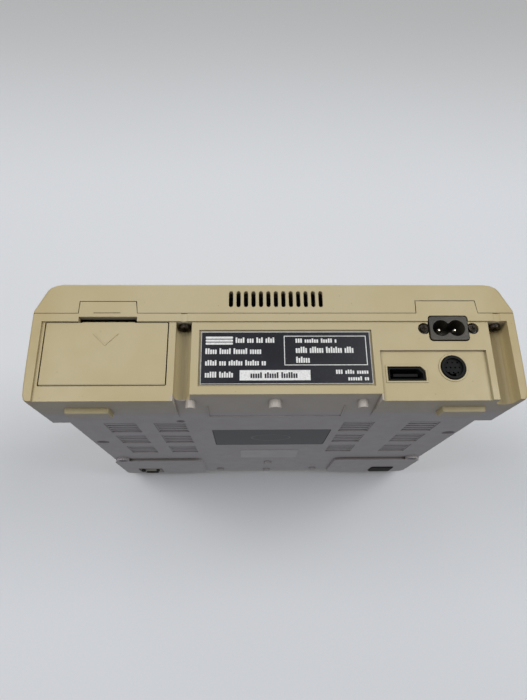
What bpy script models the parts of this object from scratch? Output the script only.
"""A mid-1990s disc game console, standing on its feet.

+Z is up, +Y is the rear (connector) side, +X is the right-hand side seen from the front.
The origin is the centre of the footprint, on the surface that the feet stand on.
Every size below is in millimetres; the meshes are made in metres.
"""
import math

import bmesh
import bpy
from mathutils import Vector

for old in list(bpy.data.objects):
    bpy.data.objects.remove(old, do_unlink=True)

MM = 0.001

# ---------------------------------------------------------------- driving dimensions
WIDTH = 260.0
DEPTH = 230.0
HEIGHT = 83.0
FOOT = 3.0                      # height of the feet under the case
SEAM_RISE = 48.6                # seam between the cases, above the case's lower edge
BELT_RISE = 43.9                # lower edge of the raised belt under the seam
WALL = 2.5
DECK_THICKNESS = 3.6
LID_RISE = 7.0                  # crown of the disc lid above the deck
GAP = 0.3                       # clearance between pieces that touch
RUN = 0.4                       # clearance round a moving piece
PANEL_STEP = 1.0                # rear panel set back from the belt
PLUG_FIT = 0.5                  # clearance round a connector in its hole

HALF_W = WIDTH / 2
REAR = DEPTH / 2
FRONT = -DEPTH / 2
BASE = FOOT
SEAM = BASE + SEAM_RISE
BELT = BASE + BELT_RISE
DECK = HEIGHT - LID_RISE
PANEL = REAR - PANEL_STEP
REAR_INNER = REAR - 4.0         # inner face of the lower case's rear wall
SEAM_GAP = 0.15                 # each case keeps this much to the seam plane

# Upper case, as heights of its shoulder and insets of its plateau
SHOULDER = BASE + 66.4
PLATEAU_SIDE = 24.0
PLATEAU_FRONT = 32.0
PLATEAU_REAR = 17.0

CASE_CORNERS = (12.0, 12.0, 1.5, 1.5)   # seen from above: front two, rear two

# Rear ramp under the centre panel
RAMP_HALF = 53.7
RAMP_LENGTH = 35.0
RAMP_RISE = 3.5

# Expansion cover, on the +X side of the rear face
COVER_WIDTH = 65.6
COVER_HEIGHT = 35.6
COVER_MARGIN = 7.1              # from the case's side
COVER_GAP = 0.6                 # clearance at the cover's two sides
COVER_LOW = BASE + 8.1
COVER_THICKNESS = 2.2
COVER_CORNERS = (0.6, 0.6, 0.3, 0.3)   # lower two, upper two
MOUTH_CORNERS = (0.8, 0.8, 0.5, 0.5)   # the lower two stay small so that the open door clears them
COVER_X1 = HALF_W - COVER_MARGIN
COVER_X0 = COVER_X1 - COVER_WIDTH
COVER_HIGH = COVER_LOW + COVER_HEIGHT
COVER_AXIS_Y = PANEL - COVER_THICKNESS / 2
COVER_AXIS_Z = COVER_LOW + GAP + COVER_THICKNESS / 2
FINGER_X0 = COVER_X0 + 17.1
FINGER_X1 = COVER_X1 - 17.5
FINGER_HIGH = BASE + 46.5
BAY_DEPTH = 55.0
ARROW_INSET = 32.5              # arrow's tip from the cover's +X side and above its lower edge
ARROW_RISE = 22.2

# Tongues of the lower case that rise into the upper case
TONGUE_RIGHT = (FINGER_X0, FINGER_X1 + 0.3, BASE + 55.4)
TONGUE_LEFT = (-HALF_W + 20.0, -HALF_W + 53.9, BASE + 55.8)

# Screw channels in the rear face: centre x, radius
CHANNEL_RIGHT = (COVER_X0 - 7.9, 4.2)
CHANNEL_LEFT = (-HALF_W + 10.1, 5.1)
CHANNEL_INSET = 5.5
CHANNEL_TOP = BASE + 43.6
CHANNEL_WALL = 1.8

# Rating label
LABEL_X0 = -49.8
LABEL_X1 = 40.0
LABEL_Z0 = BASE + 8.9
LABEL_Z1 = BASE + 38.1
LABEL_BORDER = 1.1
LABEL_RECESS = 0.9

# Connector panel on the -X side
SOCKET_X0 = -HALF_W + 18.6
SOCKET_X1 = -HALF_W + 75.4
SOCKET_TOP = BASE + 27.4
SOCKET_STEP = 1.5
INLET_X = -HALF_W + 37.1
INLET_Z = BASE + 39.9
INLET_WIDTH = 20.8
INLET_HEIGHT = 13.8
INLET_EAR = 13.2                # ear screw's distance from the inlet's centre
INLET_EAR_RADIUS = 2.8
INLET_LOBE = (4.1, 4.6)         # figure-of-eight well: lobe offset and radius
INLET_NECK = 2.6                # half the well's height between the lobes
INLET_FLOOR = REAR - 13.0
PIN_HOLE = 1.5
PIN_SPACING = 8.6
COMM_X = -HALF_W + 62.0
COMM_Z = BASE + 14.7
COMM_WIDTH = 19.2
COMM_HEIGHT = 7.0
AV_X = -HALF_W + 36.9
AV_Z = BASE + 18.0
AV_RADIUS = 6.4
RIM_WIDTH = 0.9                 # raised rim round the two lower sockets
RIM_RISE = 0.35
RIM_BACK = PANEL - SOCKET_STEP - 1.0

# Upper vent
VENT_COUNT = 13
VENT_PITCH = 4.07
VENT_WIDTH = 2.35
VENT_Z0 = BASE + 52.2
VENT_Z1 = BASE + 61.9

# Underside
SIDE_CHAMFER = 12.0             # how far the side's lower edge is cut back
CHAMFER_SLOPE = 1.22
CHAMFER_REAR = 45.0             # the cut starts this far from the rear
BAR_X = (89.0, 111.5)
BAR_INSET = 13.5
PEG_DROP = 1.6                  # pegs and bosses, below the case
PEG_RADIUS = 2.9
PEGS = ((-45.5, REAR - 10.5, 2.7), (1.0, REAR - 10.5, 3.3), (45.5, REAR - 10.5, 2.7),
        (0.0, FRONT + 53.0, PEG_RADIUS), (0.0, FRONT + 18.0, PEG_RADIUS),
        (-39.0, FRONT + 22.0, PEG_RADIUS), (39.0, FRONT + 22.0, PEG_RADIUS))
SIDE_WELLS = ((HALF_W - 18.0, 16.0, 4.2), (-HALF_W + 17.0, 38.0, 4.2))
WELL_DEPTH = 2.2
DIMPLE = (54.2, 71.5, 2.6)      # shallow mark beside the ramp
DIMPLE_DEPTH = 1.6
SCREW_WELL = (4.6, 3.6)         # outside and inside radius of the front screws' wells
BORE = 1.9                      # radius of a clearance hole for a case screw
PLATFORM_X = (52.0, 118.5)
PLATFORM_FRONT = 12.5
PLATFORM_LENGTH = 57.0
PLATFORM_DROP = 2.0
PAD_X = (87.5, 106.0)
PAD_INSET = 16.75
PAD_LENGTH = 19.0
FRONT_SCREW_X = HALF_W - 19.0
FRONT_SCREW_Y = FRONT + 72.0
GRILLE_COLUMNS = (81.5, 52.5, -59.0, -98.5)
GRILLE_WIDTH = 17.5
GRILLE_ROWS = (45.0, 13.0, -20.5)
GRILLE_SLOTS = 5
GRILLE_PITCH = 4.9
GRILLE_SLOT = 2.3
PLATE_X = (-35.9, 37.1)
PLATE_Y = (4.6, 49.0)

# Top: disc lid, cartridge slot and buttons
LID_HALF = 72.0
LID_FRONT = FRONT + 35.0
LID_REAR = REAR - 55.0
LID_SEAT = 1.6
LID_FRONT_RADIUS = 66.0
LID_REAR_RADIUS = 22.0
HINGE_X = 40.0
HINGE_Y = LID_REAR + 3.0
HINGE_Z = DECK - 1.5
KNUCKLE_RADIUS = 2.4
KNUCKLE_WIDTH = 6.0
HINGE_PIN_RADIUS = 1.0
DISC_X = 0.0
DISC_Y = LID_FRONT + 70.0       # the disc's centre
WELL_RADIUS = 61.5
WELL_FLOOR = DECK - 11.5
SLOT_HALF = 54.0
SLOT_FRONT = REAR - 42.0
SLOT_WIDTH = 18.0
SLOT_CORNER = 0.7                # small, so that the open flaps clear it
FLAP_THICKNESS = 1.4
OPEN_BUTTON = (HALF_W - 42.0, FRONT + 55.0, 12.0)
POWER_BUTTON = (-HALF_W + 42.0, FRONT + 55.0, 8.0)
RESET_BUTTON = (-HALF_W + 42.0, FRONT + 75.0, 3.8)
LED_PLACE = (-HALF_W + 42.0, FRONT + 40.0, 1.6)

# Controller ports in the front wall
PORT_X = 48.0
PORT_Z = BASE + 29.0
PORT_WIDTH = 41.0
PORT_HEIGHT = 11.0
PORT_DEPTH = 24.0

# Disc drive
CHASSIS_Z = 59.5
CHASSIS_THICKNESS = 1.2
MOTOR_LOW = 50.0
SHAFT_RADIUS = 1.0
SLED_Z = (50.0, 57.0)
SLED_HALF = 26.0
SLED_LENGTH = 20.0
SLED_REST = 14.0                # sled's rear edge ahead of the disc's centre
SLED_TRAVEL = 34.0
LENS_INSET = 10.0               # lens ahead of the sled's rear edge
LENS_RADIUS = 4.4
LENS_CLEARANCE = 1.6            # chassis slot beyond the lens at each end of its travel
RAIL_X = 22.0
RAIL_Z = 53.5
RAIL_RADIUS = 1.5
GEAR_TEETH = 14
GEAR_MODULE = 1.0
GEAR_DISTANCE = 36.0            # pinion ahead of the disc's centre
GEAR_Z = (50.8, 53.8)
RACK_Z = (50.6, 54.0)
TOOTH_ROOT = 1.15               # depth and height of a tooth from the pitch line, in modules
TOOTH_TIP = 0.75
RIBBON = (8.0, 20.0, 0.5)       # drive cable: depth front to rear, width, thickness
BOARD_HALF = HALF_W - 26.0
BOARD_FRONT = FRONT + 33.0
BOARD_REAR = REAR - 61.0
BOARD_Z = 18.0
LOWER_SHIELD_Z = BASE + 7.0
UPPER_SHIELD_Z = 44.0
POWER_BOARD_Z = 31.0

COLOURS = {
    "case": ((0.50, 0.42, 0.25), 0.42, 0.0),
    "grey": ((0.17, 0.17, 0.18), 0.45, 0.0),
    "black": ((0.015, 0.015, 0.017), 0.4, 0.0),
    "metal": ((0.55, 0.55, 0.56), 0.35, 1.0),
    "brass": ((0.65, 0.48, 0.2), 0.3, 1.0),
    "board": ((0.02, 0.16, 0.07), 0.5, 0.0),
    "rubber": ((0.02, 0.02, 0.02), 0.8, 0.0),
    "lens": ((0.25, 0.3, 0.6), 0.05, 0.0),
    "lamp": ((0.1, 0.5, 0.12), 0.2, 0.0),
}


# ---------------------------------------------------------------- shape helpers
def rounded(x0, x1, y0, y1, radii, steps=5):
    """Rounded rectangle, anticlockwise; radii are front-left, front-right, rear-right, rear-left."""
    if not isinstance(radii, tuple):
        radii = (radii,) * 4
    corners = ((x0, y0, 1, 1, 180), (x1, y0, -1, 1, 270), (x1, y1, -1, -1, 0), (x0, y1, 1, -1, 90))
    points = []
    for (x, y, sx, sy, start), radius in zip(corners, radii):
        for step in range(steps + 1):
            angle = math.radians(start + 90 * step / steps)
            points.append((x + sx * radius + radius * math.cos(angle),
                           y + sy * radius + radius * math.sin(angle)))
    return points


def circle(x, y, radius, count=24):
    """Regular outline, anticlockwise."""
    turns = [2 * math.pi * i / count for i in range(count)]
    return [(x + radius * math.cos(a), y + radius * math.sin(a)) for a in turns]


def add_stack(bm, rings):
    """Closed body through rings of points that all have the same count."""
    loops = [[bm.verts.new(Vector(point) * MM) for point in ring] for ring in rings]
    count = len(rings[0])
    for low, high in zip(loops, loops[1:]):
        for i in range(count):
            j = (i + 1) % count
            bm.faces.new((low[i], low[j], high[j], high[i]))
    bm.faces.new(loops[0][::-1])
    bm.faces.new(loops[-1])


def to_object(name, bm):
    """Scene object from a bmesh, with its faces pointing out."""
    bmesh.ops.recalc_face_normals(bm, faces=bm.faces)
    mesh = bpy.data.meshes.new(name)
    bm.to_mesh(mesh)
    bm.free()
    made = bpy.data.objects.new(name, mesh)
    bpy.context.scene.collection.objects.link(made)
    return made


def stack(rings, name="shape"):
    bm = bmesh.new()
    add_stack(bm, rings)
    return to_object(name, bm)


def place(axis, a, b, c):
    """A point of an outline (a, b) at distance c along an axis."""
    return {"x": (c, a, b), "y": (a, c, b), "z": (a, b, c)}[axis]


def prisms(axis, parts, name="shape"):
    """One object of separate straight bodies; each part is (outline, start, end)."""
    bm = bmesh.new()
    for outline, start, end in parts:
        add_stack(bm, [[place(axis, a, b, c) for a, b in outline] for c in (start, end)])
    return to_object(name, bm)


def prism(axis, outline, start, end, name="shape"):
    return prisms(axis, [(outline, start, end)], name)


def corners(a0, a1, b0, b1):
    return [(a0, b0), (a1, b0), (a1, b1), (a0, b1)]


def block(x, y, z, name="shape"):
    """Plain box from three (low, high) pairs."""
    return prism("z", corners(x[0], x[1], y[0], y[1]), z[0], z[1], name)


def rod(axis, a, b, radius, start, end, name="shape", count=20):
    return prism(axis, circle(a, b, radius, count), start, end, name)


def combine(body, how, *tools):
    """Apply Booleans in turn and drop their tools."""
    for tool in tools:
        modifier = body.modifiers.new(how, "BOOLEAN")
        modifier.operation = how
        modifier.solver = "EXACT"
        modifier.object = tool
        tool.hide_render = True
        tool.display_type = "WIRE"
    bpy.context.view_layer.update()
    depsgraph = bpy.context.evaluated_depsgraph_get()
    mesh = bpy.data.meshes.new_from_object(body.evaluated_get(depsgraph))
    body.modifiers.clear()
    body.data = mesh
    for tool in tools:
        bpy.data.objects.remove(tool, do_unlink=True)
    return body


def add(body, *tools):
    return combine(body, "UNION", *tools)


def cut(body, *tools):
    return combine(body, "DIFFERENCE", *tools)


def finish(body, name, colour, pivot=None):
    """Name a piece, colour it and put its origin on its pivot or at its own centre."""
    body.name = name
    body.data.name = name
    rgb, roughness, metallic = COLOURS[colour]
    material = bpy.data.materials.get(colour) or bpy.data.materials.new(colour)
    material.use_nodes = True
    shader = material.node_tree.nodes["Principled BSDF"]
    shader.inputs["Base Color"].default_value = (*rgb, 1)
    shader.inputs["Roughness"].default_value = roughness
    shader.inputs["Metallic"].default_value = metallic
    body.data.materials.clear()
    body.data.materials.append(material)
    body.data.polygons.foreach_set("material_index", [0] * len(body.data.polygons))
    body.data.shade_smooth()
    body.data.set_sharp_from_angle(angle=math.radians(30))
    bounds = [Vector(corner) for corner in body.bound_box]
    centre = sum(bounds, Vector()) / len(bounds)
    origin = Vector(pivot) * MM if pivot else centre
    for vertex in body.data.vertices:
        vertex.co -= origin
    body.location = origin
    body.parent = ROOT
    return body


ROOT = bpy.data.objects.new("console", None)
bpy.context.scene.collection.objects.link(ROOT)


def channel_outline(centre_x, radius):
    """Round-ended channel that is open towards the rear."""
    y = REAR - CHANNEL_INSET
    arc = [math.radians(180 + 180 * i / 8) for i in range(9)]
    points = [(centre_x + radius * math.cos(a), y + radius * math.sin(a)) for a in arc]
    return points + [(centre_x + radius, REAR + 4), (centre_x - radius, REAR + 4)]


def both(span):
    """A span of x on the +X side and its mirror image."""
    return [span, (-span[1], -span[0])]


# ---------------------------------------------------------------- cases
def case_ring(z, side, front, rear, radii):
    outline = rounded(-HALF_W + side, HALF_W - side, FRONT + front, REAR - rear, radii)
    return [(x, y, z) for x, y in outline]


def lower_shell():
    """Outer body of the lower case, hollowed, with its sides curving in at the foot."""
    outer = [(0.0, 2.2, 11.0), (0.9, 1.2, 8.4), (3.2, 0.5, 4.6), (8.0, 0.2, 1.8), (15.0, 0.05, 0.4),
             (21.0, 0.0, 0.0), (SEAM_RISE - SEAM_GAP, 0.0, 0.0)]
    body = stack([case_ring(BASE + z, side, front, 0.0, CASE_CORNERS) for z, side, front in outer])
    chamfer = []
    for sign in (1, -1):
        low, high = 4.0, 16.0
        reach = HALF_W - SIDE_CHAMFER
        profile = [(reach - CHAMFER_SLOPE * low, -low), (reach + CHAMFER_SLOPE * high, -low),
                   (reach + CHAMFER_SLOPE * high, high)]
        chamfer.append(([(sign * x, BASE + z) for x, z in profile], FRONT - 5, REAR - CHAMFER_REAR))
    cavity = [(WALL + 0.1, SIDE_CHAMFER + 0.2, WALL + 8.0), (11.5, WALL + 0.2, WALL + 2.0),
              (SEAM_RISE + 4, WALL + 0.2, WALL)]
    hollow = stack([case_ring(BASE + z, side, front, REAR - REAR_INNER, (9, 9, 2, 2))
                    for z, side, front in cavity])
    return cut(body, prisms("y", chamfer), hollow)


def rear_features(body):
    """Rear wall: recessed panels, channels, bay, label recess and connector holes."""
    ramp_block = block((-RAMP_HALF - WALL, RAMP_HALF + WALL), (REAR - RAMP_LENGTH - 4, REAR_INNER + 1),
                       (BASE + 1, BASE + RAMP_RISE + WALL + 0.2))
    posts = []
    for x, radius in (CHANNEL_RIGHT, CHANNEL_LEFT):
        outline = [(a, min(b, REAR_INNER + 1.5)) for a, b in channel_outline(x, radius + CHANNEL_WALL)]
        posts.append(prism("z", outline, BASE + 0.6, SEAM - SEAM_GAP))
    add(body, ramp_block, *posts)

    ramp = [(REAR - RAMP_LENGTH - 10, BASE - 1), (REAR + 10, BASE - 1), (REAR + 10, BASE + 4.5)]
    panel = block((-HALF_W + 5.1, HALF_W - 5.4), (PANEL, REAR + 5), (BASE - 5, BELT))
    channels = [prism("z", channel_outline(x, r), BASE - 5, CHANNEL_TOP)
                for x, r in (CHANNEL_RIGHT, CHANNEL_LEFT)]
    holes = [rod("z", x, REAR - CHANNEL_INSET, BORE, CHANNEL_TOP - 2, SEAM + 5)
             for x, _ in (CHANNEL_RIGHT, CHANNEL_LEFT)]
    cut(body, prism("x", ramp, -RAMP_HALF, RAMP_HALF), panel, *channels, *holes)

    through = (REAR - 8, REAR + 5)
    mouth = rounded(COVER_X0, COVER_X1, COVER_LOW, COVER_HIGH, MOUTH_CORNERS, 3)
    finger = block((FINGER_X0, FINGER_X1), (REAR - 9, REAR + 5), (COVER_HIGH - 1, FINGER_HIGH))
    label = block((LABEL_X0 - LABEL_BORDER, LABEL_X1 + LABEL_BORDER), (PANEL - LABEL_RECESS, REAR + 5),
                  (LABEL_Z0 - LABEL_BORDER, LABEL_Z1 + LABEL_BORDER))
    sockets = block((SOCKET_X0, SOCKET_X1), (PANEL - SOCKET_STEP, REAR + 5), (BASE - 5, SOCKET_TOP))
    rim_front = RIM_BACK + RIM_RISE + 1
    rims = [prism("y", comm_outline(PLUG_FIT + RIM_WIDTH), RIM_BACK, rim_front),
            rod("y", AV_X, AV_Z, AV_RADIUS + PLUG_FIT + RIM_WIDTH, RIM_BACK, rim_front, count=32)]
    comm = prism("y", comm_outline(PLUG_FIT), *through)
    video = rod("y", AV_X, AV_Z, AV_RADIUS + PLUG_FIT, *through, count=32)
    inlet = prism("y", inlet_outline(PLUG_FIT, 2.0), *through)
    ears = [rod("y", INLET_X + side * INLET_EAR, INLET_Z, INLET_EAR_RADIUS + PLUG_FIT, *through)
            for side in (-1, 1)]
    scallops = [rod("z", x, REAR + 3.6, 4.2, BELT - 2, SEAM + 2) for x, _ in (CHANNEL_RIGHT, CHANNEL_LEFT)]
    cut(body, prism("y", mouth, *through), finger, label, sockets, *scallops)
    add(body, *rims)
    return cut(body, comm, video, inlet, *ears)


def underside_features(body):
    """Feet, platforms, bosses, grilles and the plate recess under the lower case."""
    parts = []
    for x in both(BAR_X):
        rings = []
        for z, grow in ((-FOOT, 0.0), (-FOOT + 0.5, 0.35), (0.6, 0.7)):
            y0, y1 = REAR - BAR_INSET - 10.5 - 2 * grow, REAR - BAR_INSET - 0.7 + grow
            outline = rounded(x[0] - grow, x[1] + grow, y0, y1, 0.9, 2)
            rings.append([(a, b, BASE + z) for a, b in outline])
        parts.append(stack(rings))
    for x in both(PLATFORM_X):
        rings = []
        for z, grow in ((-PLATFORM_DROP, 0.0), (0.8, 1.6)):
            y0 = FRONT + PLATFORM_FRONT - grow
            outline = rounded(x[0] - grow, x[1], y0, y0 + PLATFORM_LENGTH, 5, 3)
            rings.append([(a, b, BASE + z) for a, b in outline])
        parts.append(stack(rings))
    for x in (FRONT_SCREW_X, -FRONT_SCREW_X):
        parts.append(rod("z", x, FRONT_SCREW_Y, SCREW_WELL[0], BASE - PLATFORM_DROP - 0.2, BASE + 18))
    for x, y, radius in PEGS:
        parts.append(rod("z", x, y, radius, BASE - PEG_DROP, BASE + (5 if y > 0 else 1), count=16))
    add(body, *parts)

    recesses, slots = [], []
    length = (GRILLE_SLOTS - 1) * GRILLE_PITCH + GRILLE_SLOT
    for x in GRILLE_COLUMNS:
        for y in GRILLE_ROWS:
            recesses.append((corners(x - 0.6, x + GRILLE_WIDTH + 0.6, y - 0.6, y + length + 0.6),
                             BASE - 1, BASE + 0.5))
            for i in range(GRILLE_SLOTS):
                low = y + i * GRILLE_PITCH
                slots.append((corners(x, x + GRILLE_WIDTH, low, low + GRILLE_SLOT), BASE - 2, BASE + 8))
    wells = [(circle(x, FRONT_SCREW_Y, SCREW_WELL[1]), BASE - 5, BASE + 3)
             for x in (FRONT_SCREW_X, -FRONT_SCREW_X)]
    wells += [(circle(*well), BASE - 5, BASE + WELL_DEPTH) for well in SIDE_WELLS]
    wells.append((circle(*DIMPLE), BASE - 5, BASE + DIMPLE_DEPTH))
    bores = [(circle(x, FRONT_SCREW_Y, BORE), BASE + 1, BASE + 20) for x in (FRONT_SCREW_X, -FRONT_SCREW_X)]
    plate = prism("z", rounded(PLATE_X[0] - 0.4, PLATE_X[1] + 0.4, PLATE_Y[0] - 0.4, PLATE_Y[1] + 0.4,
                               1.5, 2), BASE - 1, BASE + 0.8)
    pads = []
    for x in both(PAD_X):
        y0 = FRONT + PAD_INSET - GAP
        outline = rounded(x[0] - GAP, x[1] + GAP, y0, y0 + PAD_LENGTH + 2 * GAP, 2.5, 3)
        pads.append((outline, BASE - PLATFORM_DROP - 2, BASE - PLATFORM_DROP + 1.0))
    return cut(body, prisms("z", recesses), prisms("z", slots), prisms("z", wells), prisms("z", bores),
               prisms("z", pads), plate)


def tongue_outline(x0, x1, top, grow=0.0):
    """Tongue with a slightly slanted outer side, as (x, z) points."""
    return [(x0 - grow, BELT + 1), (x1 + grow, BELT + 1), (x1 + grow - 0.3, top + grow),
            (x0 - grow + 1.2, top + grow)]


def lower_case():
    body = rear_features(lower_shell())
    for x0, x1, top in (TONGUE_RIGHT, TONGUE_LEFT):
        low = [(x, max(z, FINGER_HIGH + 0.6)) for x, z in tongue_outline(x0, x1, top)]
        add(body, prism("y", low, REAR - WALL, REAR))
    grip_x = (FINGER_X0 + 9.1, FINGER_X1 - 7.6)
    cut(body, block(grip_x, (REAR - 0.4, REAR + 2), (SEAM - 0.1, SEAM + 0.35)))
    underside_features(body)
    mouths = [corners(sign * PORT_X - PORT_WIDTH / 2 - PLUG_FIT, sign * PORT_X + PORT_WIDTH / 2 + PLUG_FIT,
                      PORT_Z - PORT_HEIGHT / 2 - PLUG_FIT, PORT_Z + PORT_HEIGHT / 2 + PLUG_FIT)
              for sign in (1, -1)]
    cut(body, prisms("y", [(mouth, FRONT - 5, FRONT + 8) for mouth in mouths]))
    return finish(body, "lower_case", "case")


def lid_outline(inset):
    radii = tuple(max(1.0, radius - inset) for radius in
                  (LID_FRONT_RADIUS, LID_FRONT_RADIUS, LID_REAR_RADIUS, LID_REAR_RADIUS))
    return rounded(-LID_HALF + inset, LID_HALF - inset, LID_FRONT + inset, LID_REAR - inset, radii, 7)


def button_holes():
    holes = [(circle(x, y, radius + RUN, 28), DECK - 9, DECK + 4)
             for x, y, radius in (OPEN_BUTTON, POWER_BUTTON, RESET_BUTTON, LED_PLACE)]
    return prisms("z", holes)


def upper_shell():
    """Hollow upper case: leaning sides, rounded shoulder and a raised flat deck."""
    outer = [(SEAM + SEAM_GAP, 0.0, 0.3, 0.0, 12, 1.5), (SEAM + 1.6, 0.2, 0.45, 0.0, 12, 1.5),
             (SEAM + 14.0, 5.0, 5.5, 0.0, 14, 4), (SEAM + 15.6, 6.2, 7.2, 0.1, 14, 4),
             (SHOULDER - 1.1, 8.4, 9.6, 0.25, 14, 4), (SHOULDER - 0.4, 11.0, 12.6, 0.6, 14, 4),
             (SHOULDER, 14.5, 16.5, 1.7, 14, 5), (DECK, PLATEAU_SIDE, PLATEAU_FRONT, PLATEAU_REAR, 18, 14)]
    body = stack([case_ring(z, side, front, rear, (rf, rf, rr, rr))
                  for z, side, front, rear, rf, rr in outer])
    inner = [(SEAM - 3, 2.8, 2.8, WALL, 9, 2), (SEAM + 1.6, 3.0, 3.0, WALL, 9, 2),
             (SEAM + 11.6, 7.4, 8.2, WALL, 10, 2), (SHOULDER - 3.4, 15.5, 18.0, 4.0, 11, 4),
             (DECK - DECK_THICKNESS, PLATEAU_SIDE + 1.5, PLATEAU_FRONT + 1.5, PLATEAU_REAR + 2, 16, 12)]
    hollow = stack([case_ring(z, side, front, rear, (rf, rf, rr, rr))
                    for z, side, front, rear, rf, rr in inner])
    return cut(body, hollow)


def upper_case():
    body = upper_shell()
    bosses = [rod("z", x, REAR - CHANNEL_INSET, 3.4, SEAM + SEAM_GAP, SHOULDER - 2) for x, _ in
              (CHANNEL_RIGHT, CHANNEL_LEFT)]
    bosses += [rod("z", x, FRONT_SCREW_Y, 3.8, BASE + 18.4, SHOULDER - 1)
               for x in (FRONT_SCREW_X, -FRONT_SCREW_X)]
    bosses.append(rod("z", DISC_X, DISC_Y, WELL_RADIUS + RUN + WALL, WELL_FLOOR + 1, DECK - 2, count=48))
    add(body, *bosses)
    bores = [(circle(x, REAR - CHANNEL_INSET, BORE), SEAM - 5, SEAM + 11)
             for x, _ in (CHANNEL_RIGHT, CHANNEL_LEFT)]
    bores += [(circle(x, FRONT_SCREW_Y, BORE), BASE + 12, BASE + 32)
              for x in (FRONT_SCREW_X, -FRONT_SCREW_X)]
    slots = []
    for i in range(VENT_COUNT):
        x = (i - (VENT_COUNT - 1) / 2) * VENT_PITCH
        half = VENT_WIDTH / 2
        slots.append((rounded(x - half, x + half, VENT_Z0, VENT_Z1, half * 0.98, 2), REAR - 8, REAR + 5))
    notches = [(tongue_outline(x0, x1, top, RUN), REAR - 6, REAR + 5)
               for x0, x1, top in (TONGUE_RIGHT, TONGUE_LEFT)]
    seat = prism("z", lid_outline(-RUN), DECK - LID_SEAT, DECK + 4)
    well = rod("z", DISC_X, DISC_Y, WELL_RADIUS + RUN, WELL_FLOOR - 6, DECK + 4, count=48)
    pockets = []
    for sign in (1, -1):
        half = KNUCKLE_WIDTH / 2 + 2.2
        pockets.append((corners(sign * HINGE_X - half, sign * HINGE_X + half, LID_REAR - 9, HINGE_Y + 3.4),
                        DECK - 20, DECK + 4))
    hook = block((-6, 6), (LID_FRONT + 1.6, LID_FRONT + 6.6), (DECK - 20, DECK + 4))
    slot = prism("z", rounded(-SLOT_HALF, SLOT_HALF, SLOT_FRONT, SLOT_FRONT + SLOT_WIDTH, SLOT_CORNER, 3),
                 DECK - 12, DECK + 4)
    cut(body, prisms("z", bores), prisms("y", slots), prisms("y", notches), button_holes(), seat, well,
        prisms("z", pockets), hook, slot)
    return finish(body, "upper_case", "case")


# ---------------------------------------------------------------- disc lid and top controls
def cd_lid():
    """Domed hollow lid with two hinge knuckles and a front hook."""
    low = DECK - LID_SEAT + GAP
    outer = [(low, 0.0), (DECK + 1.8, 0.2), (DECK + 3.6, 2.0), (DECK + 5.2, 8.0), (DECK + 6.4, 20.0),
             (HEIGHT, 36.0)]
    inner = [(low - 2, 2.4), (DECK + 1.2, 2.6), (DECK + 3.2, 10.0), (DECK + 4.4, 22.0), (DECK + 5.0, 36.0)]
    body = stack([[(x, y, z) for x, y in lid_outline(inset)] for z, inset in outer])
    cut(body, stack([[(x, y, z) for x, y in lid_outline(inset)] for z, inset in inner]))
    for sign in (1, -1):
        x = (sign * HINGE_X - KNUCKLE_WIDTH / 2, sign * HINGE_X + KNUCKLE_WIDTH / 2)
        knuckle = prism("x", circle(HINGE_Y, HINGE_Z, KNUCKLE_RADIUS, 20), *x)
        arm = block(x, (LID_REAR - 5, HINGE_Y), (HINGE_Z - 1.2, HINGE_Z + 1.6))
        add(body, arm, knuckle)
        cut(body, prism("x", circle(HINGE_Y, HINGE_Z, HINGE_PIN_RADIUS + 0.2, 16), x[0] - 2, x[1] + 2))
    stem = block((-2.5, 2.5), (LID_FRONT + 3.0, LID_FRONT + 5.2), (DECK - 9, DECK + 3.0))
    lip = block((-2.5, 4.0), (LID_FRONT + 3.0, LID_FRONT + 5.2), (DECK - 9, DECK - 7.6))
    add(body, stem, lip)
    return finish(body, "cd_lid", "case", (0, HINGE_Y, HINGE_Z))


def hinge_pins():
    for name, sign in (("lid_hinge_pin_right", 1), ("lid_hinge_pin_left", -1)):
        half = KNUCKLE_WIDTH / 2 + 1.9
        pin = rod("x", HINGE_Y, HINGE_Z, HINGE_PIN_RADIUS, sign * HINGE_X - half, sign * HINGE_X + half,
                  count=16)
        finish(pin, name, "metal")


def button(name, place_at, rise, colour):
    """Round cap with a bevelled top and a flange that the deck holds down."""
    x, y, radius = place_at
    flange = DECK - DECK_THICKNESS - 0.4
    profile = [(flange - 1.2, radius + 1.4), (flange, radius + 1.4), (flange + 0.01, radius),
               (DECK + rise - 0.6, radius), (DECK + rise - 0.1, radius - 0.5), (DECK + rise, radius - 1.3)]
    body = stack([[(a, b, z) for a, b in circle(x, y, r, 24)] for z, r in profile])
    return finish(body, name, colour, (x, y, DECK))


def top_controls():
    button("open_button", OPEN_BUTTON, 1.4, "grey")
    button("power_button", POWER_BUTTON, 1.4, "grey")
    button("reset_button", RESET_BUTTON, 1.0, "grey")
    button("power_lamp", LED_PLACE, 0.7, "lamp")


def lid_latch():
    """Sliding bar under the deck, from the OPEN button to the lid's hook."""
    y0 = LID_FRONT + 1.2
    bar = block((7.0, OPEN_BUTTON[0] - 2), (y0 + 1.0, y0 + 6.5), (DECK - 13.0, DECK - 11.2))
    finger = block((4.4, 9.0), (y0 + 2.0, y0 + 4.0), (DECK - 12.2, DECK - 5.6))
    pusher = block((OPEN_BUTTON[0] - 6, OPEN_BUTTON[0] - 2), (y0 + 1.0, OPEN_BUTTON[1] + 2),
                   (DECK - 13.0, DECK - 8.2))
    return finish(add(bar, finger, pusher), "lid_latch", "grey")


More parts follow.
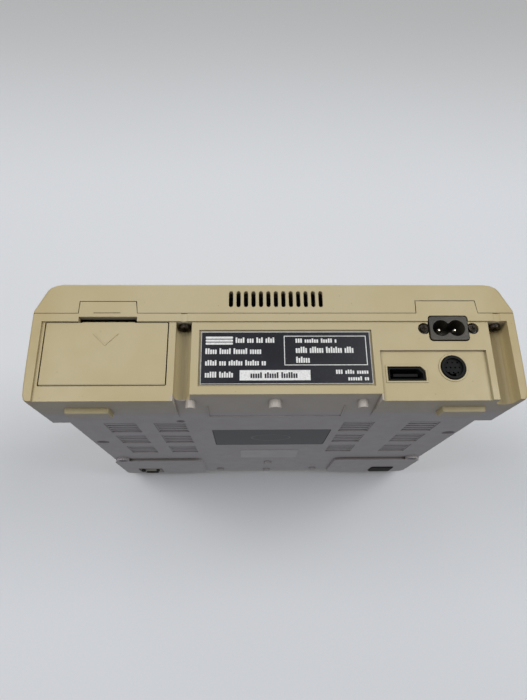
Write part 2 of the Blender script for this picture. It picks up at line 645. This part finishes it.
def cartridge_flaps():
    """Two doors that meet at the middle of the slot and swing down into it."""
    x = (-SLOT_HALF + RUN, SLOT_HALF - RUN)
    radius = FLAP_THICKNESS / 2
    z = DECK - 0.3 - radius
    middle = SLOT_FRONT + SLOT_WIDTH / 2
    for name, edge, sign in (("cartridge_flap_front", SLOT_FRONT, 1),
                             ("cartridge_flap_rear", SLOT_FRONT + SLOT_WIDTH, -1)):
        axis_y = edge + sign * (radius + RUN)
        arc = [math.radians(90 + 180 * i / 6) for i in range(7)]
        outline = [(axis_y + sign * radius * math.cos(a), z + radius * math.sin(a)) for a in arc]
        outline += [(middle - sign * 0.2, z - radius), (middle - sign * 0.2, z + radius)]
        finish(prism("x", outline, *x), name, "grey", (0, axis_y, z))


def cartridge_connector():
    """Long edge connector under the cartridge slot."""
    middle = SLOT_FRONT + SLOT_WIDTH / 2
    body = block((-46, 46), (middle - 5, middle + 5), (36, 56))
    return finish(cut(body, block((-43, 43), (middle - 1.4, middle + 1.4), (42, 60))),
                  "cartridge_connector", "black")


# ---------------------------------------------------------------- rear pieces
def expansion_cover():
    """Door hinged along its rounded lower edge, with a latch tab and a raised arrow."""
    radius = COVER_THICKNESS / 2
    arc = [math.radians(180 + 180 * i / 8) for i in range(9)]
    profile = [(COVER_AXIS_Y + radius * math.cos(a), COVER_AXIS_Z + radius * math.sin(a)) for a in arc]
    top = COVER_HIGH - GAP
    profile += [(PANEL, top), (PANEL - COVER_THICKNESS, top)]
    body = prism("x", profile, COVER_X0 + COVER_GAP, COVER_X1 - COVER_GAP)
    face = rounded(COVER_X0 + COVER_GAP, COVER_X1 - COVER_GAP, COVER_LOW + GAP, top, COVER_CORNERS, 3)
    combine(body, "INTERSECT", prism("y", face, PANEL - 10, PANEL + 10))
    tab = block((FINGER_X0 + 1.2, FINGER_X1 - 1.2), (PANEL - 2.6, PANEL - 1.5), (top - 2, COVER_HIGH + 0.9))
    stroke, arm, rise = 0.7, 6.8, 0.3
    centre_x, tip_z = COVER_X1 - ARROW_INSET, COVER_LOW + ARROW_RISE
    arrow = [(centre_x - arm, tip_z + arm), (centre_x, tip_z), (centre_x + arm, tip_z + arm),
             (centre_x + arm - stroke * 1.4, tip_z + arm), (centre_x, tip_z + stroke * 1.4),
             (centre_x - arm + stroke * 1.4, tip_z + arm)]
    add(body, tab, prism("y", arrow, PANEL - 1, PANEL + rise))
    return finish(body, "expansion_cover", "case", (0, COVER_AXIS_Y, COVER_AXIS_Z))


def expansion_bay():
    """Open-fronted tray behind the cover, with its connector and the backup battery."""
    x = (COVER_X0 + 1.0, COVER_X1 - 1.0)
    y = (REAR_INNER - BAY_DEPTH, REAR_INNER - GAP)
    z = (COVER_LOW + 0.9, COVER_HIGH - 1.2)
    wall = 1.0
    tray = block(x, y, z)
    cut(tray, block((x[0] + wall, x[1] - wall), (y[0] + wall, y[1] + 5), (z[0] + wall, z[1] - wall)))
    finish(tray, "expansion_bay", "metal")

    floor = z[0] + wall
    back = y[0] + wall
    connector = block((x[0] + 5, x[1] - 5), (back + GAP, back + 9), (floor + 14, floor + 22))
    cut(connector, block((x[0] + 7, x[1] - 7), (back + 3, back + 12), (floor + 16.5, floor + 19.5)))
    finish(connector, "expansion_connector", "black")

    cell_x, cell_y, cell_radius = x[1] - 18, REAR - 22, 10.0
    holder = rod("z", cell_x, cell_y, cell_radius + 3, floor + GAP, floor + 5.0, count=28)
    cut(holder, rod("z", cell_x, cell_y, cell_radius + 0.6, floor + 1.5, floor + 9, count=28))
    finish(holder, "battery_holder", "black")
    cell = rod("z", cell_x, cell_y, cell_radius, floor + 1.8, floor + 5.0, count=28)
    finish(cell, "coin_cell", "metal")


def rating_label():
    y1 = PANEL - LABEL_RECESS + GAP
    label = prism("y", rounded(LABEL_X0, LABEL_X1, LABEL_Z0, LABEL_Z1, 0.8, 2), y1, y1 + 0.45)
    finish(label, "rating_label", "black")


def inlet_outline(grow, corner):
    half_w, half_h = INLET_WIDTH / 2 + grow, INLET_HEIGHT / 2 + grow
    return rounded(INLET_X - half_w, INLET_X + half_w, INLET_Z - half_h, INLET_Z + half_h, corner, 3)


def ac_inlet():
    """Two-pin mains inlet with a figure-of-eight well and two screwed ears."""
    body = prism("y", inlet_outline(0.0, 1.6), REAR - 20, REAR - 0.2)
    ears = [rod("y", INLET_X + s * INLET_EAR, INLET_Z, INLET_EAR_RADIUS, REAR - 5.0, REAR - 2.2)
            for s in (-1, 1)]
    bridge = block((INLET_X - INLET_EAR, INLET_X + INLET_EAR), (REAR - 4.8, REAR - 2.4),
                   (INLET_Z - 2.0, INLET_Z + 2.0))
    add(body, bridge, *ears)
    offset, radius = INLET_LOBE
    lobes = [rod("y", INLET_X + s * offset, INLET_Z, radius, INLET_FLOOR, REAR + 2, count=24)
             for s in (-1, 1)]
    middle = block((INLET_X - 3.4, INLET_X + 3.4), (INLET_FLOOR, REAR + 2),
                   (INLET_Z - INLET_NECK, INLET_Z + INLET_NECK))
    pins = [rod("y", INLET_X + s * PIN_SPACING / 2, INLET_Z, PIN_HOLE, REAR - 25, INLET_FLOOR + 3, count=12)
            for s in (-1, 1)]
    screws = [rod("y", INLET_X + s * INLET_EAR, INLET_Z, 1.4, REAR - 9, REAR + 2, count=12)
              for s in (-1, 1)]
    cut(body, *lobes, middle, *pins, *screws)
    finish(body, "ac_inlet", "black")
    for side, s in (("right", 1), ("left", -1)):
        x = INLET_X + s * PIN_SPACING / 2
        pin = stack([[(a, y, b) for a, b in circle(x, INLET_Z, r, 12)]
                     for y, r in ((REAR - 23, 1.15), (REAR - 4.0, 1.15), (REAR - 3.2, 0.5))])
        finish(pin, "inlet_pin_" + side, "brass")
        screw("inlet_screw_" + side, "y", (INLET_X + s * INLET_EAR, INLET_Z), REAR - 1.9, 1,
              (2.0, 1.1), (1.1, 7.0))


def screw(name, axis, centre, seat, outward, head, shaft):
    """Cross-head screw; head and shaft are (radius, length) and outward is +1 or -1 along the axis."""
    a, b = centre
    face = seat + outward * head[1]
    body = rod(axis, a, b, head[0], seat, face, count=20)
    add(body, rod(axis, a, b, shaft[0], seat + outward * 0.2, seat - outward * shaft[1], count=12))
    arm, half = head[0] * 0.6, head[0] * 0.14
    for along, across in ((arm, half), (half, arm)):
        slot = corners(a - along, a + along, b - across, b + across)
        cut(body, prism(axis, slot, face - outward * head[1] / 2, face + outward))
    finish(body, name, "metal")


def case_screws():
    y = REAR - CHANNEL_INSET
    for side, (x, _) in (("right", CHANNEL_RIGHT), ("left", CHANNEL_LEFT)):
        screw("rear_case_screw_" + side, "z", (x, y), CHANNEL_TOP - GAP, -1, (3.2, 2.0), (1.5, 12.0))
    for side, x in (("right", FRONT_SCREW_X), ("left", -FRONT_SCREW_X)):
        screw("front_case_screw_" + side, "z", (x, FRONT_SCREW_Y), BASE + 3 - GAP, -1,
              (3.0, 2.0), (1.5, 26.0))


def comm_outline(grow=0.0):
    """Wide D-shaped outline with one cut corner, as (x, z) points."""
    half_w, half_h = COMM_WIDTH / 2 + grow, COMM_HEIGHT / 2 + grow
    x, z, corner = COMM_X, COMM_Z, 2.4
    return [(x - half_w, z - half_h), (x + half_w, z - half_h), (x + half_w, z + half_h),
            (x - half_w + corner, z + half_h), (x - half_w, z + half_h - corner)]


def comm_socket():
    floor = REAR - 12
    body = prism("y", comm_outline(), REAR - 18, PANEL - SOCKET_STEP - 0.2)
    cut(body, prism("y", comm_outline(-0.9), floor, REAR + 5))
    half = COMM_WIDTH / 2 - 3.0
    tongue = block((COMM_X - half, COMM_X + half), (floor - 1, REAR - 5), (COMM_Z - 0.9, COMM_Z + 0.9))
    return finish(add(body, tongue), "comm_socket", "black")


def av_socket():
    """Round ten-hole socket with a raised rim and a key slot."""
    front = PANEL - 0.5
    body = rod("y", AV_X, AV_Z, AV_RADIUS, REAR - 18, front, count=32)
    cut(body, rod("y", AV_X, AV_Z, AV_RADIUS - 1.3, front - 1.4, front + 3, count=32))
    holes = []
    for dz, columns in ((3.0, (-2.6, 0.0, 2.6)), (0.2, (-3.6, -1.2, 1.2, 3.6)), (-2.6, (-2.4, 0.0, 2.4))):
        holes += [(circle(AV_X + dx, AV_Z + dz, 0.5, 8), front - 6, front + 3) for dx in columns]
    holes.append((corners(AV_X - 1.0, AV_X + 1.0, AV_Z - 4.7, AV_Z - 3.6), front - 6, front + 3))
    return finish(cut(body, prisms("y", holes)), "av_socket", "black")


# ---------------------------------------------------------------- front and underside pieces
def controller_ports():
    for side, sign in (("left", -1), ("right", 1)):
        x = sign * PORT_X
        half_w, half_h = PORT_WIDTH / 2, PORT_HEIGHT / 2
        y0 = FRONT + 0.6
        body = block((x - half_w, x + half_w), (y0, y0 + PORT_DEPTH), (PORT_Z - half_h, PORT_Z + half_h))
        cut(body, block((x - half_w + 1.6, x + half_w - 1.6), (y0 - 3, y0 + PORT_DEPTH - 6),
                        (PORT_Z - half_h + 1.4, PORT_Z + half_h - 1.4)))
        tongue = block((x - half_w + 6, x + half_w - 6), (y0 + 5, y0 + PORT_DEPTH - 5),
                       (PORT_Z + 1.4, PORT_Z + 2.8))
        finish(add(body, tongue), "controller_port_" + side, "black")


def foot_pads():
    for side, x in zip(("right", "left"), both(PAD_X)):
        y0 = FRONT + PAD_INSET
        rings = []
        for z, inset in ((0.0, 0.8), (0.6, 0.0), (FOOT - PLATFORM_DROP + 0.7, 0.0)):
            outline = rounded(x[0] + inset, x[1] - inset, y0 + inset, y0 + PAD_LENGTH - inset, 2.2, 3)
            rings.append([(a, b, z) for a, b in outline])
        finish(stack(rings), "foot_pad_" + side, "rubber")


def base_plate():
    outline = rounded(PLATE_X[0], PLATE_X[1], PLATE_Y[0], PLATE_Y[1], 1.2, 2)
    finish(prism("z", outline, BASE + 0.05, BASE + 0.5), "base_label", "black")


# ---------------------------------------------------------------- electronics
def boards():
    """Main board between two shields, its three chips and a finned heat sink."""
    board, sheet = 1.6, 0.8
    x = (-BOARD_HALF, BOARD_HALF)
    y = (BOARD_FRONT, BOARD_REAR)
    finish(block(x, y, (BOARD_Z, BOARD_Z + board)), "main_board", "board")
    finish(block(x, (y[0] - 8, y[1]), (LOWER_SHIELD_Z, LOWER_SHIELD_Z + sheet)), "lower_shield", "metal")
    shield = block(x, y, (UPPER_SHIELD_Z, UPPER_SHIELD_Z + sheet))
    vents = [(corners(c - 18, c + 18, -60 + r * 22, -52 + r * 22), UPPER_SHIELD_Z - 4, UPPER_SHIELD_Z + 6)
             for c in (-60, 0, 60) for r in range(5)]
    finish(cut(shield, prisms("z", vents)), "upper_shield", "metal")
    low = BOARD_Z + board + GAP
    high = low + 3.2
    for name, cx, cy, size in (("main_processor", -58, -20, 28), ("second_processor", -14, -20, 28),
                               ("video_chip", 36, -22, 30)):
        half = size / 2
        finish(block((cx - half, cx + half), (cy - half, cy + half), (low, high)), name, "black")
    sink = block((22, 50), (-36, -8), (high + GAP, high + GAP + 2))
    fins = [block((24 + 5 * i, 25.6 + 5 * i), (-35, -9), (high + 2.1, low + 15)) for i in range(6)]
    finish(add(sink, *fins), "heat_sink", "metal")


def power_supply():
    """Board behind the mains inlet with a transformer and a capacitor."""
    x0 = -HALF_W + 10
    y = (REAR - 53, REAR - 23)
    low = POWER_BOARD_Z + 1.6
    finish(block((x0, -12), y, (POWER_BOARD_Z, low)), "power_board", "board")
    low += GAP
    core = block((x0 + 4, x0 + 36), (y[0] + 2, y[1] - 2), (low, low + 8))
    winding = block((x0 + 9, x0 + 31), (y[0] + 4, y[1] - 4), (low + 7, low + 22))
    finish(add(core, winding), "transformer", "metal")
    finish(rod("z", x0 + 50, REAR - 38, 8.0, low, low + 22, count=24), "filter_capacitor", "black")


# ---------------------------------------------------------------- disc drive
def disc_well():
    """Round pan that the disc lies in, with a hub hole and the laser's slot."""
    radius = WELL_RADIUS
    body = rod("z", DISC_X, DISC_Y, radius, WELL_FLOOR, DECK - LID_SEAT - 0.2, count=48)
    cut(body, rod("z", DISC_X, DISC_Y, radius - 1.4, WELL_FLOOR + 1.4, DECK + 5, count=48),
        rod("z", DISC_X, DISC_Y, 18.5, WELL_FLOOR - 5, DECK, count=32),
        block((-10, 10), (DISC_Y - 57, DISC_Y - 10), (WELL_FLOOR - 5, DECK)))
    return finish(body, "disc_well", "grey")


def drive_chassis():
    """Sheet under the well with the laser's slot, on three rubber dampers."""
    top = CHASSIS_Z + CHASSIS_THICKNESS
    body = prism("z", rounded(-52, 52, DISC_Y - 70, DISC_Y + 32, 6, 3), CHASSIS_Z, top)
    lens_y = DISC_Y - SLED_REST - LENS_INSET
    reach = LENS_RADIUS + LENS_CLEARANCE
    travel = (lens_y - SLED_TRAVEL - reach, lens_y + reach + LENS_CLEARANCE)
    cut(body, block((-11, 11), travel, (CHASSIS_Z - 3, top + 2)),
        rod("z", DISC_X, DISC_Y, 4.0, CHASSIS_Z - 3, top + 2, count=20))
    finish(body, "drive_chassis", "metal")
    for name, x, dy in (("damper_rear_left", -44, 22), ("damper_rear_right", 44, 22),
                        ("damper_front", -40, -40)):
        damper = rod("z", x, DISC_Y + dy, 4.0, top + GAP, WELL_FLOOR - GAP, count=16)
        finish(damper, name, "rubber")


def spindle():
    """Motor with a hollow shaft seat, and the turntable that the disc snaps on to."""
    motor = rod("z", DISC_X, DISC_Y, 12.0, MOTOR_LOW, CHASSIS_Z - GAP, count=28)
    cut(motor, rod("z", DISC_X, DISC_Y, SHAFT_RADIUS + RUN, MOTOR_LOW + 2, CHASSIS_Z + 3, count=16))
    finish(motor, "spindle_motor", "metal")
    under = WELL_FLOOR - 1.2
    hub, table_radius = 7.4, 16.0
    profile = [(MOTOR_LOW + 3, SHAFT_RADIUS), (under, SHAFT_RADIUS), (under + 0.01, table_radius),
               (WELL_FLOOR + 1.8, table_radius), (WELL_FLOOR + 1.81, hub), (WELL_FLOOR + 5.0, hub),
               (WELL_FLOOR + 6.4, hub - 1.8)]
    table = stack([[(a, b, z) for a, b in circle(DISC_X, DISC_Y, r, 32)] for z, r in profile])
    balls = block((-hub - 0.6, hub + 0.6), (DISC_Y - 0.9, DISC_Y + 0.9),
                  (WELL_FLOOR + 2.5, WELL_FLOOR + 4.2))
    finish(add(table, balls), "turntable", "grey", (DISC_X, DISC_Y, WELL_FLOOR))


def rack_outline(x, y0, y1, phase_y):
    """Toothed bar facing +X, with one tooth centred on phase_y."""
    pitch = math.pi * GEAR_MODULE
    root, tip = x - TOOTH_ROOT * GEAR_MODULE, x + TOOTH_TIP * GEAR_MODULE
    points = [(root - 2.2, y0), (root, y0)]
    first = math.ceil((y0 + pitch / 2 - phase_y) / pitch)
    last = math.floor((y1 - pitch / 2 - phase_y) / pitch)
    for k in range(first, last + 1):
        centre = phase_y + k * pitch
        points += [(root, centre - 0.36 * pitch), (tip, centre - 0.09 * pitch),
                   (tip, centre + 0.09 * pitch), (root, centre + 0.36 * pitch)]
    return points + [(root, y1), (root - 2.2, y1)]


def gear_outline(x, y, phase):
    """Spur gear with straight-sided teeth, one gap centred on the phase angle."""
    pitch_radius = GEAR_TEETH * GEAR_MODULE / 2
    root, tip = pitch_radius - TOOTH_ROOT * GEAR_MODULE, pitch_radius + TOOTH_TIP * GEAR_MODULE
    step = 2 * math.pi / GEAR_TEETH
    points = []
    for i in range(GEAR_TEETH):
        centre = phase + (i + 0.5) * step
        for share, radius in ((-0.34, root), (-0.09, tip), (0.09, tip), (0.34, root)):
            angle = centre + share * step
            points.append((x + radius * math.cos(angle), y + radius * math.sin(angle)))
    return points


def laser_drive():
    """Sled on two rails, moved by a pinion in the rack along its side."""
    y1 = DISC_Y - SLED_REST
    y0 = y1 - SLED_LENGTH
    sled = block((-SLED_HALF, SLED_HALF), (y0, y1), SLED_Z)
    rack_x = SLED_HALF + 3.0
    gear_y = DISC_Y - GEAR_DISTANCE
    rack = prism("z", rack_outline(rack_x, gear_y - 8, gear_y + SLED_TRAVEL + 8, gear_y), *RACK_Z)
    add(sled, rack)
    bores = [rod("y", s * RAIL_X, RAIL_Z, RAIL_RADIUS + RUN, y0 - 5, y1 + 5, count=16) for s in (1, -1)]
    lens_y = y1 - LENS_INSET
    well = rod("z", 0, lens_y, LENS_RADIUS + 0.6, SLED_Z[1] - 3, SLED_Z[1] + 2)
    cut(sled, well, *bores)
    finish(sled, "laser_sled", "black", (0, lens_y, RAIL_Z))
    lens = stack([[(a, b, z) for a, b in circle(0, lens_y, r, 20)] for z, r in
                  ((SLED_Z[1] - 2.5, LENS_RADIUS), (61.0, LENS_RADIUS), (61.8, 3.4), (62.3, 1.6))])
    finish(lens, "laser_lens", "lens")
    for side, s in (("left", -1), ("right", 1)):
        rail = rod("y", s * RAIL_X, RAIL_Z, RAIL_RADIUS, DISC_Y - 72, DISC_Y - 4, count=16)
        finish(rail, "guide_rail_" + side, "metal")
    gear_x = rack_x + GEAR_TEETH * GEAR_MODULE / 2
    shaft = 0.8
    gear = prism("z", gear_outline(gear_x, gear_y, math.pi), *GEAR_Z)
    cut(gear, rod("z", gear_x, gear_y, shaft + RUN, GEAR_Z[0] - 3, GEAR_Z[1] + 3, count=12))
    finish(gear, "sled_gear", "grey", (gear_x, gear_y, sum(GEAR_Z) / 2))
    finish(rod("z", gear_x, gear_y, shaft, 46.0, CHASSIS_Z - GAP, count=12), "gear_shaft", "metal")
    motor = rod("y", gear_x + 18, 54.0, 5.0, gear_y - 12, gear_y + 10, count=20)
    finish(motor, "sled_motor", "metal")


def drive_ribbon():
    """Flat cable from the drive down to the shield over the main board."""
    depth, width, thick = RIBBON
    y0 = DISC_Y + 22
    y1 = y0 + depth
    low, high = UPPER_SHIELD_Z + 1.3, CHASSIS_Z - 2 * GAP
    outline = [(y0, low), (y1, low), (y1, high), (y0, high), (y0, high - thick), (y1 - thick, high - thick),
               (y1 - thick, low + thick), (y0, low + thick)]
    finish(prism("x", outline, -44, width - 44), "drive_ribbon", "case")


lower_case()
upper_case()
cd_lid()
hinge_pins()
top_controls()
lid_latch()
cartridge_flaps()
cartridge_connector()
expansion_cover()
expansion_bay()
rating_label()
ac_inlet()
case_screws()
comm_socket()
av_socket()
controller_ports()
foot_pads()
base_plate()
boards()
power_supply()
disc_well()
drive_chassis()
spindle()
laser_drive()
drive_ribbon()
